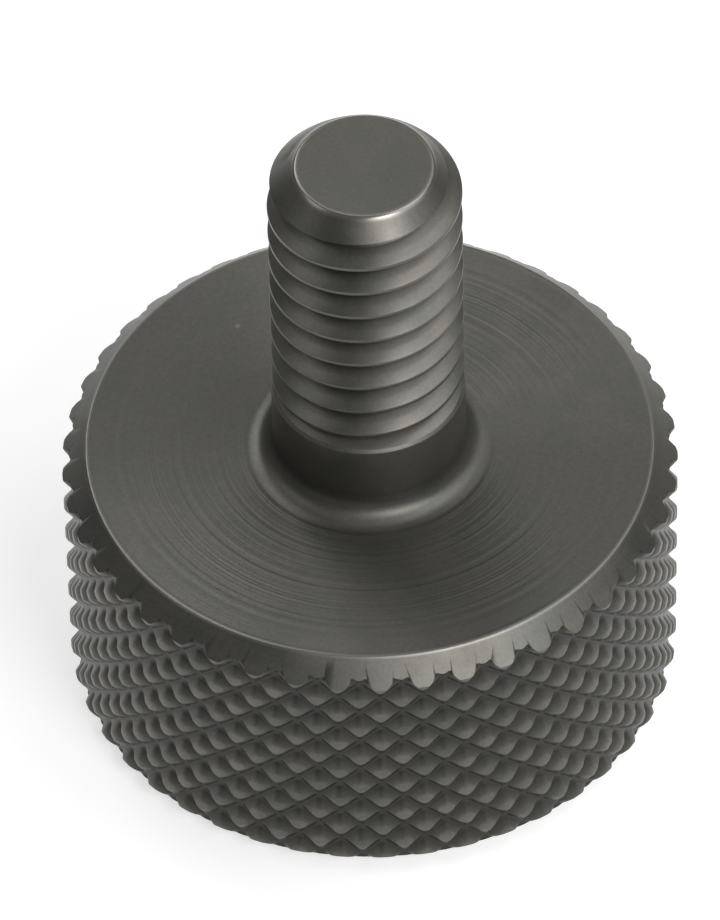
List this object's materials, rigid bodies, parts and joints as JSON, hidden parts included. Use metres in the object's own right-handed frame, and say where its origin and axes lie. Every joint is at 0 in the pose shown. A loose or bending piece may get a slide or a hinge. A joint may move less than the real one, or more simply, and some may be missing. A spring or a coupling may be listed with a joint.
{
  "type": "knurled thumb screw",
  "caption": "One-piece thumb screw with a wide round diamond-knurled head, a plain neck and a coarse right-hand threaded stud, standing on its head.",
  "frame": {"origin": "centre of the head's flat end, on the screw's axis", "axes": "+Z along the screw's axis from the head to the tip of the thread"},
  "size_m": [0.0254, 0.0254, 0.029],
  "materials": {
    "blackened_steel": "satin black oxide on turned and knurled steel"
  },
  "bodies": {
    "root": {"thumb_screw": "blackened_steel"}
  },
  "joints": []
}
